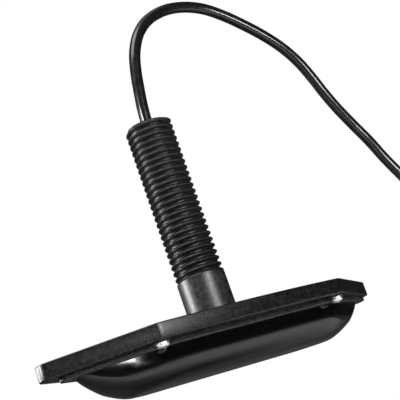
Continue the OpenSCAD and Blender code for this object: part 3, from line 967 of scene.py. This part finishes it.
    @staticmethod
    def sweep(route: Sequence[Vector], radius: float, sides: int) -> list[Ring]:
        """Set rings square to a route, with no twist between them.

        Args:
            route: centreline.
            radius: radius of each ring.
            sides: points of each ring.

        Returns:
            The rings.
        """
        rings: list[Ring] = []
        last = len(route) - 1
        across = Vector((0, 1, 0))
        for i, here in enumerate(route):
            ahead = (route[min(last, i + 1)] - route[max(0, i - 1)]).normalized()
            across = (across - ahead * across.dot(ahead)).normalized()
            over = ahead.cross(across)
            rings.append([here + radius * (math.cos(turn) * across + math.sin(turn) * over)
                          for turn in Draft.around(sides)])
        return rings


@dataclass
class CoilTie:
    """Woven strap that holds the coil together."""

    width: float = 0.010
    thickness: float = 0.0009
    corner: float = 0.0025
    corner_steps: int = 6
    bands: int = 4

    def build(self) -> Piece:
        """Wrap the strap round the coil's section.

        Returns:
            The strap.
        """
        low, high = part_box("cable_tie")
        middle = (low.y + high.y) / 2
        corners = ((high.x, low.z), (high.x, high.z), (low.x, high.z), (low.x, low.z))
        outline = Draft.rounded([(x, z, self.corner) for x, z in corners], self.corner_steps)
        inside = Draft.inset(outline, self.thickness)
        offsets = [self.width * (k / self.bands - 0.5) for k in range(self.bands + 1)]
        rings = [[Vector((p.x, middle + y, p.y)) for p in outline] for y in offsets]
        rings += [[Vector((p.x, middle + y, p.y)) for p in inside] for y in reversed(offsets)]
        body = Shape.loft("coil_tie", [list(reversed(ring)) for ring in rings], closed=True)
        return Shape.finish(body, Finishes.TIE, Slot.TIE, "cable_tie")


@dataclass
class Connector:
    """Round connector on the cable's far end, lying along -X."""

    relief: float = 0.014
    relief_steps: int = 40
    relief_drop: float = 0.0025
    neck_wall: float = 0.0008
    neck_mouth: float = 0.001
    grooves: int = 4
    groove_depth: float = 0.0009
    groove_span: Flat = (0.1, 0.9)
    shoulder: float = 0.002
    grip_gaps: Flat = (0.006, 0.012)
    flutes: int = 18
    flute_depth: float = 0.0007
    flute_run: float = 0.0012
    rim_round: float = 0.001
    rim_wall: float = 0.0019
    rim_depth: float = 0.003
    sides: int = 144
    face_core: float = 0.001
    face_edge: float = 0.0008
    face_sides: int = 64
    contacts: int = 7
    contact_circle: float = 0.3125
    contact_radius: float = 0.0009
    contact_span: Flat = (-0.006, 0.002)
    contact_sides: int = 24

    LYING = Matrix.Rotation(-math.pi / 2, 4, "Y")

    @staticmethod
    def entry() -> Vector:
        """Point where the cable enters the shell."""
        low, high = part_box("connector_shell")
        return Vector((high.x, (low.y + high.y) / 2, (low.z + high.z) / 2))

    def build(self) -> list[Piece]:
        """Build the shell with its strain relief, and the insert.

        Returns:
            The pieces of the connector.
        """
        return [
            Shape.finish(self._shell(), Finishes.PLUG, Slot.PLUG, "connector_shell"),
            Shape.finish(self._insert(), Finishes.INSERT, Slot.INSERT, "connector_insert"),
        ]

    def _insert(self) -> Piece:
        """Turn the insert and cut the contacts' holes.

        Returns:
            The insert.
        """
        low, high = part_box("connector_insert")
        entry, radius, edge = self.entry(), (high.z - low.z) / 2, self.face_edge
        start, end = entry.x - high.x, entry.x - low.x
        profile = [(self.face_core, start), (radius, start), (radius, end - edge),
                   (radius - edge * ROUND, end - edge * ROUND), (radius - edge, end), (self.face_core, end)]
        insert = Shape.turned("connector_face", profile, self.face_sides)
        insert.data.transform(Matrix.Translation(entry) @ self.LYING)
        centre, circle = (low + high) / 2, (high.z - low.z) * self.contact_circle
        holes = []
        for turn in Draft.around(self.contacts):
            hole = Shape.turned("hole", [(self.contact_radius, z) for z in self.contact_span],
                                self.contact_sides)
            place = centre + Vector((0, circle * math.sin(turn), circle * math.cos(turn)))
            hole.data.transform(Matrix.Translation((low.x, place.y, place.z)) @ self.LYING)
            holes.append(hole)
        Shape.cut(insert, holes)
        return insert

    def _levels(self, radius: float, length: float) -> list[Spot]:
        """Draw the shell's profile from the cable's end to the rim.

        Args:
            radius: outer radius.
            length: length with the relief.

        Returns:
            Radius, height and share of the flutes' depth at each level.
        """
        neck = Cable.diameter / 2 + self.neck_wall
        first, last = self.groove_span
        levels = [(neck - self.neck_mouth, 0.0, 0.0)]
        for share in (k / self.relief_steps for k in range(self.relief_steps + 1)):
            swell = neck + (radius - self.relief_drop - neck) * share
            dip = self.groove_depth * max(0.0, math.sin(2 * math.pi * self.grooves * share - math.pi / 2))
            levels.append((swell - dip * (first < share < last), self.relief * share, 0.0))
        levels.append((radius - self.shoulder * ROUND, self.relief + self.shoulder * (1 - ROUND), 0.0))
        levels.append((radius, self.relief + self.shoulder, 0.0))
        start, end = self.relief + self.grip_gaps[0], length - self.grip_gaps[1]
        levels += [(radius, start, 0.0), (radius, start + self.flute_run, 1.0),
                   (radius, end - self.flute_run, 1.0), (radius, end, 0.0)]
        rim, inside = self.rim_round, radius - self.rim_wall
        return levels + [(radius, length - rim, 0.0), (radius - rim * ROUND, length - rim * ROUND, 0.0),
                         (radius - rim, length, 0.0), (inside, length, 0.0),
                         (inside, length - self.rim_depth, 0.0)]

    def _shell(self) -> Piece:
        """Build the shell with a ribbed relief and a fluted grip.

        Returns:
            The shell.
        """
        low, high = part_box("connector_shell")
        rings: list[Ring] = []
        for r, z, flute in self._levels((high.z - low.z) / 2, high.x - low.x):
            ring: Ring = []
            for turn in Draft.around(self.sides):
                cut = self.flute_depth * flute * (0.5 - 0.5 * math.cos(self.flutes * turn)) ** 2
                ring.append(Draft.polar(r - cut, turn, z))
            rings.append(ring)
        shell = Shape.loft("connector", rings)
        shell.data.transform(Matrix.Translation(self.entry()) @ self.LYING)
        return shell


@dataclass
class Plate:
    """Boat-shaped mounting plate with bowed sides, blunt tips and two fixing holes."""

    bow: float = 0.0039
    bow_steps: int = 24
    shoulder: float = 0.129
    shoulder_round: float = 0.008
    tip_width: float = 0.009
    tip_round: float = 0.006
    corner_steps: int = 10
    bevels: Flat = (0.0009, 0.0008)
    hole_radius: float = 0.0025
    hole_flare: float = 0.0004
    hole_shift: float = 0.004
    hole_span: float = 0.211
    hole_sides: int = 48
    bore: float = 0.0151
    bore_sides: int = 96
    seat_facing: float = 0.99

    def outline(self) -> list[Vector]:
        """Draw the plate's outline.

        Returns:
            The outline's points.
        """
        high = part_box("mounting_plate")[1]
        reach, width = high.x, high.y - self.bow
        middle, tip = self.shoulder / 2, self.tip_width / 2
        arc = (middle ** 2 + self.bow ** 2) / (2 * self.bow)
        drop = math.sqrt(arc ** 2 - middle ** 2)
        side = []
        for k in range(1, self.bow_steps):
            x = middle * (1 - 2 * k / self.bow_steps)
            side.append((x, width + math.sqrt(arc ** 2 - x ** 2) - drop, 0.0))
        half = [(reach, -tip, self.tip_round), (reach, tip, self.tip_round),
                (middle, width, self.shoulder_round), *side, (-middle, width, self.shoulder_round)]
        return Draft.rounded(Draft.doubled(half), self.corner_steps)

    def build(self) -> Piece:
        """Build the plate, with a matt finish on its upper face.

        Returns:
            The plate.
        """
        low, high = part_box("mounting_plate")
        body = Shape.slab("plate", self.outline(), (low.z, high.z), self.bevels)
        bore = [(self.bore, low.z - CLEAR), (self.bore, high.z + CLEAR)]
        tools = [Shape.turned("bore", bore, self.bore_sides)]
        flare = high.z - self.hole_flare
        hole = [(self.hole_radius, low.z - CLEAR), (self.hole_radius, flare),
                (self.hole_radius + CLEAR, flare + CLEAR)]
        for side in (-1, 1):
            tool = Shape.turned("hole", hole, self.hole_sides)
            tool.data.transform(Matrix.Translation((self.hole_shift + side * self.hole_span / 2, 0, 0)))
            tools.append(tool)
        Shape.cut(body, tools)
        Shape.finish(body, Finishes.PLATE, Slot.PLATE, "mounting_plate")
        Shape.patch(body, Finishes.SEAT, lambda face: face.normal.z > self.seat_facing)
        return body


@dataclass
class Stem:
    """Hollow stem: foot under the plate, smooth shank and a coarse right-hand thread."""

    radius: float = 0.015
    relief: float = 0.0008
    foot_rim: float = 0.010
    bore: float = 0.008
    bore_round: float = 0.0006
    shank: float = 0.026
    shank_gap: float = 0.0002
    shank_inset: float = 0.0003
    shank_round: float = 0.0004
    pitch: float = 0.004
    pitch_steps: int = 14
    depth: float = 0.002
    crest_turn: float = math.radians(144.6)
    crest_height: float = 0.12585
    crest_power: float = 0.75
    flank: float = 1.08
    sides: int = 112
    run_in: float = 0.0035
    top_round: float = 0.0008
    top_steps: int = 4
    top_crest: float = 0.0004
    plug_depth: float = 0.010

    def thread_radius(self, turn: float, z: float) -> float:
        """Radius of the threaded stretch.

        Args:
            turn: angle about the stem.
            z: height.

        Returns:
            The radius there.
        """
        phase = (z - self.crest_height) / self.pitch - (turn - self.crest_turn) / (2 * math.pi)
        off = abs(phase - round(phase))
        ridge = (0.5 + 0.5 * math.cos(2 * math.pi * min(0.5, off * self.flank))) ** self.crest_power
        cut = Draft.ease(min(1.0, max(0.0, (z - self.shank) / self.run_in)))
        return self.radius - self.depth * (1 - ridge) * cut

    def build(self) -> Piece:
        """Build the stem, with a lighter mottled finish on its shank that paints in the light falling on it.

        Returns:
            The stem.
        """
        low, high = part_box("threaded_stem")
        rings = [self._ring(lambda turn, r=r: r, z) for r, z in self._plain(low.z)]
        step = self.pitch / self.pitch_steps
        z = self.shank + step
        while z < high.z - self.top_round:
            rings.append(self._ring(lambda turn, z=z: self.thread_radius(turn, z), z))
            z += step
        crest = self.radius - self.depth + self.top_crest
        for over in Draft.quarter(self.top_steps):
            shrink = self.top_round * (1 - math.cos(over))
            level = high.z - self.top_round * (1 - math.sin(over))
            rings.append(self._ring(lambda turn, s=shrink, z=level:
                                    min(crest, self.thread_radius(turn, z)) - s, level))
        mouth = [(self.bore + self.bore_round, high.z), (self.bore, high.z - self.bore_round),
                 (self.bore, high.z - self.plug_depth)]
        rings += [self._ring(lambda turn, r=r: r, z) for r, z in mouth]
        body = Shape.loft("stem", rings, closed=True)
        Shape.finish(body, Finishes.STEM, Slot.STEM, "threaded_stem")
        # The shank takes a lighter copy of the stem's plastic, which paints in the light falling on it.
        Shape.patch(body, Finishes.SHANK_PAINTED_LIGHT, lambda face: 0 < face.center.z < self.shank)
        return body

    def _plain(self, bottom: float) -> list[Flat]:
        """Profile of the foot and the shank.

        Args:
            bottom: height of the foot's lower face.

        Returns:
            Radius and height of each point, from the bottom up.
        """
        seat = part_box("mounting_plate")[0].z
        foot, neck = self.radius + self.foot_rim, self.radius - self.relief
        return [(self.bore, bottom), (foot, bottom), (foot, seat), (neck, seat), (neck, -self.shank_gap),
                (self.radius - self.shank_inset, 0.0), (self.radius, self.shank_round),
                (self.radius, self.shank / 2), (self.radius, self.shank)]

    def _ring(self, radius: Callable[[float], float], z: float) -> Ring:
        """Set a ring about the stem's axis whose radius depends on the angle."""
        return [Draft.polar(radius(turn), turn, z) for turn in Draft.around(self.sides)]


@dataclass
class Gland:
    """Rubber plug that grips the cable in the stem's end, with a meniscus of sealant round it."""

    rim: float = 0.0008
    rim_middle: Flat = (0.0002, 0.0003)
    rim_drop: float = 0.0002
    lip: float = 0.0003
    lip_inside: float = 0.6
    climb_steps: int = 7
    climb_power: float = 2.2
    wobble: float = 0.00035
    wobble_turn: float = 0.6
    wobble_share: float = 0.6
    sides: int = 64

    def build(self) -> Piece:
        """Build the gland.

        Returns:
            The gland.
        """
        hole, bore, top = Cable.diameter / 2, Stem.bore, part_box("threaded_stem")[1].z
        low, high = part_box("stem_plug")
        rise, rim = high.z - top, bore - self.rim
        profile = [(hole, low.z), (bore, low.z), (bore, top - self.rim),
                   (bore - self.rim_middle[0], top - self.rim_middle[1])]
        for share in (k / self.climb_steps for k in range(self.climb_steps + 1)):
            profile.append((rim - (rim - hole - self.lip) * share,
                            top - self.rim_drop + (rise + self.rim_drop) * share ** self.climb_power))
        profile.append((hole, top + rise * self.lip_inside))
        rings: list[Ring] = []
        for r, z in profile:
            sway = self.wobble * (z - top) / rise if z > top + self.rim_drop else 0.0
            rings.append([Draft.polar(r, turn, z + sway * self._wave(turn))
                          for turn in Draft.around(self.sides)])
        body = Shape.loft("stem_gland", rings, closed=True)
        return Shape.finish(body, Finishes.SEAL, Slot.SEAL, "stem_plug", edge=Edge.SOFT)

    def _wave(self, turn: float) -> float:
        """Unevenness of the sealant at an angle."""
        return math.sin(2 * turn + self.wobble_turn) + self.wobble_share * math.sin(3 * turn)


@dataclass
class Pod:
    """Glossy canoe-shaped pod with its flange, screw tabs and end lugs."""

    shift: float = 0.004
    length: float = 0.2024
    width: float = 0.066
    middle: float = 0.115
    nose: float = 0.0096
    shoulder_round: float = 0.036
    keel_length: float = 0.144
    keel_width: float = 0.0072
    wall_height: float = 0.0078
    rake_power: float = 1.21
    bilge_power: float = 2.6
    bilge_steps: int = 40
    end_power: float = 1.3
    end_share: float = 0.8
    flange: float = 0.0026
    flange_lip: float = 0.003
    flange_bevels: Flat = (0.0007, 0.0002)
    flange_seam: float = 0.0001
    lug: float = 0.0052
    hole_span: float = 0.211
    hole_radius: float = 0.0025
    hole_flare: float = 0.0012
    hole_flare_depth: float = 0.0006
    hole_sides: int = 48
    tab: float = 0.001
    tab_seam: float = 0.00005
    tab_margin: float = 0.0012
    tab_reach: float = 0.0095
    tab_steps: int = 24
    tab_bevels: Flat = (0.0002, 0.0001)
    tab_bevel_steps: int = 2
    spot_gap: float = 0.0003
    spot_depth: float = 0.002

    def __post_init__(self) -> None:
        """Take the heights from the frame."""
        self.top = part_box("mounting_plate")[0].z
        self.under = self.top - self.flange
        self.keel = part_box("pod_shell")[0].z

    @staticmethod
    def draw_in(depth: float, power: float, keel: float) -> float:
        """Share of the plan that is left at a depth from 0 at the wall to 1 at the keel."""
        return keel + (1 - keel) * max(0.0, 1 - depth ** power) ** (1 / power)

    def build(self) -> Piece:
        """Build the pod, with a satin finish on its flange whose lighter tone paints in the light falling on
        it.

        Returns:
            The pod.
        """
        body = Shape.join("pod", [self._canoe(), self._flange()])
        body.data.transform(Matrix.Translation((self.shift, 0, 0)))
        Shape.finish(body, Finishes.POD, Slot.POD, "pod_shell")
        # The flange and lugs take a lighter copy of the pod's plastic, which paints in the light falling on
        # them.
        Shape.patch(body, Finishes.FLANGE_PAINTED_LIGHT, lambda face: face.center.z > self.under - self.flange_seam)
        return body

    def _plan(self, along: float, across: float) -> list[Vector]:
        """Draw the pod's plan at a depth, with blunter ends where it is shorter.

        Args:
            along: share of the length that is left.
            across: share of the width that is left.

        Returns:
            The outline's points.
        """
        middle, half, reach = self.middle / 2, self.width / 2, self.length / 2
        blunt = 1 / math.sin(Draft.taper(middle, half, reach, self.nose)) - 1
        end = (self.nose + reach * (1 - along) / blunt) * across ** self.end_power
        widest = self.end_share * half * across
        return Draft.boat(middle, half * across, reach * along, min(end, widest),
                          self.shoulder_round * across)

    def _canoe(self) -> Piece:
        """Loft the canoe form from the keel up into the flange.

        Returns:
            The canoe form.
        """
        wall = self.top - self.wall_height
        rings: list[Ring] = []
        for turn in Draft.quarter(self.bilge_steps):
            depth = math.cos(turn)
            z = self.under + (self.keel - self.under) * depth
            below = max(0.0, (wall - z) / (wall - self.keel))
            along = self.draw_in(depth, self.rake_power, self.keel_length / self.length)
            across = self.draw_in(below, self.bilge_power, self.keel_width / self.width)
            rings.append(Shape.at(self._plan(along, across), z))
        rings.append(Shape.at(self._plan(1.0, 1.0), self.top - self.flange / 2))
        return Shape.loft("canoe", rings)

    def _flange(self) -> Piece:
        """Build the flange with its tabs, lugs and holes.

        Returns:
            The flange.
        """
        outline = Draft.boat((self.middle + self.flange_lip) / 2, self.width / 2 + self.flange_lip,
                             self.hole_span / 2 + self.lug, self.lug, self.shoulder_round)
        body = Shape.slab("flange", outline, (self.under, self.top), self.flange_bevels)
        hole = [(self.hole_radius + self.hole_flare, self.under - self.hole_flare),
                (self.hole_radius, self.under + self.hole_flare_depth), (self.hole_radius, self.top + CLEAR)]
        wide = PodScrews.diameter / 2 + self.spot_gap
        spot = [(wide, self.under - self.spot_depth), (wide, self.top - self.tab)]
        tabs, tools = [], []
        for x in (-1, 1):
            tools.append(Shape.turned("hole", hole, self.hole_sides))
            tools[-1].data.transform(Matrix.Translation((x * self.hole_span / 2, 0, 0)))
            for y in (-1, 1):
                screw = (x * PodScrews.span[0] / 2 - self.shift, y * PodScrews.span[1] / 2, 0)
                place = Matrix.Translation(screw)
                tabs.append(self._tab(place, y))
                tools.append(Shape.turned("spot", spot, self.hole_sides))
                tools[-1].data.transform(place)
        Shape.cut(body, tabs, keep=True)
        Shape.cut(body, tools)
        return body

    def _tab(self, place: Matrix, side: int) -> Piece:
        """Build one rounded tab that carries a screw head.

        Args:
            place: where the tab goes.
            side: 1 or -1, the side of the pod.

        Returns:
            The tab.
        """
        radius = PodScrews.diameter / 2 + self.tab_margin
        turns = [math.pi * k / self.tab_steps for k in range(self.tab_steps + 1)]
        outline = [Draft.polar(radius, turn, 0).xy for turn in turns]
        outline += [Vector((-radius, -self.tab_reach)), Vector((radius, -self.tab_reach))]
        tab = Shape.slab("tab", outline, (self.top - self.tab, self.top - self.tab_seam), self.tab_bevels,
                         self.tab_bevel_steps)
        tab.data.transform(place @ Matrix.Diagonal((1, side, 1, 1)))
        if side < 0:
            tab.data.flip_normals()
        return tab


@dataclass
class PodScrews:
    """The four pan-head screws of the pod, each with a cross recess."""

    span: Flat = (0.124, 0.075)
    diameter: float = 0.0078
    height: float = 0.003
    pole: float = 0.0001
    crown_power: float = 0.7
    crown_steps: int = 12
    skirt: float = 0.25
    edge: float = 0.0002
    sides: int = 64
    recess_floor: Flat = (0.0012, 0.00032)
    recess_mouth: Flat = (0.0023, 0.00062)
    recess_level: float = 0.45
    recess_clear: float = 0.0006
    first_turn: float = 0.4
    next_turn: float = 0.9

    RECESS_CORNERS = ((1, -1), (1, 1), (-1, 1), (-1, -1))

    def build(self) -> Piece:
        """Build the screws' heads on their tabs.

        Returns:
            The heads.
        """
        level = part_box("mounting_plate")[0].z - Pod.tab
        heads = []
        for i, (x, y) in enumerate(((-1, -1), (1, -1), (1, 1), (-1, 1))):
            head = self._head()
            head.data.transform(Matrix.Translation((x * self.span[0] / 2, y * self.span[1] / 2, level))
                                @ Matrix.Rotation(self.first_turn + self.next_turn * i, 4, "Z"))
            heads.append(head)
        body = Shape.join("pod_screw_heads", heads)
        return Shape.finish(body, Finishes.STEEL, Slot.STEEL, "pod_screws")

    def _head(self) -> Piece:
        """Turn one head and cut its recess.

        Returns:
            The head, with its seat at the origin.
        """
        radius = self.diameter / 2
        profile = [(self.pole, -self.height)]
        for turn in Draft.quarter(self.crown_steps)[1:]:
            crown = self.skirt + (1 - self.skirt) * math.cos(turn) ** self.crown_power
            profile.append((radius * math.sin(turn) ** self.crown_power, -self.height * crown))
        profile += [(radius, -self.edge), (radius - self.edge, 0.0), (self.pole, 0.0)]
        head = Shape.turned("head", profile, self.sides)
        ends = ((self.recess_mouth, -self.height - self.recess_clear),
                (self.recess_floor, -self.height * self.recess_level))
        slots = []
        for quarter in (0, 1):
            slot = Shape.loft("recess", [[Vector((x * half_x, y * half_y, z)) for x, y in self.RECESS_CORNERS]
                                         for (half_x, half_y), z in ends])
            slot.data.transform(Matrix.Rotation(quarter * math.pi / 2, 4, "Z"))
            slots.append(slot)
        Shape.cut(head, slots)
        return head


class InnerParts:
    """CAD nodes that show as they are, each with its own finish."""

    FINISH_OF = {
        "stem_seal_ring": Finishes.SEAL, "stem_screws": Finishes.STEEL, "stem_potting": Finishes.POTTING,
        "pod_seal": Finishes.SEAL, "array_carrier": Finishes.CARRIER, "port_scan_bar": Finishes.CERAMIC,
        "starboard_scan_bar": Finishes.CERAMIC, "down_scan_bar": Finishes.CERAMIC,
        "down_bar_backing": Finishes.BACKING, "sonar_disc": Finishes.CERAMIC,
        "disc_backing": Finishes.BACKING, "temperature_sensor": Finishes.CASE,
        "element_leads": Finishes.SLEEVE, "circuit_board": Finishes.BOARD, "board_screws": Finishes.STEEL,
        "matching_transformers": Finishes.FERRITE, "capacitors": Finishes.CAN, "signal_chip": Finishes.CASE,
        "cable_inner": Finishes.JACKET, "cable_cores": Finishes.COPPER, "connector_contacts": Finishes.GOLD,
    }

    def build(self) -> None:
        """Dress every CAD node that no piece stands for."""
        for name, finish in self.FINISH_OF.items():
            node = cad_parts[name]
            node.data.materials.clear()
            node.data.materials.append(Finishes.get(finish))
            log.info("dressed %s", name)


def main() -> None:
    """Build the transducer, its cable and the studio round it."""
    logging.basicConfig(level=logging.INFO, format="%(name)s: %(message)s")
    PhotoCamera().build()
    pieces = [*Connector().build(), CoilTie().build(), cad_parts["connector_contacts"]]
    cable = Cable().build(pieces)
    plate = Plate().build()
    stem = Stem().build()
    Gland().build()
    pod = Pod().build()
    PodScrews().build()
    InnerParts().build()
    Studio().build(plate, stem, pod, [cable, *pieces])


if __name__ == "__main__":
    main()
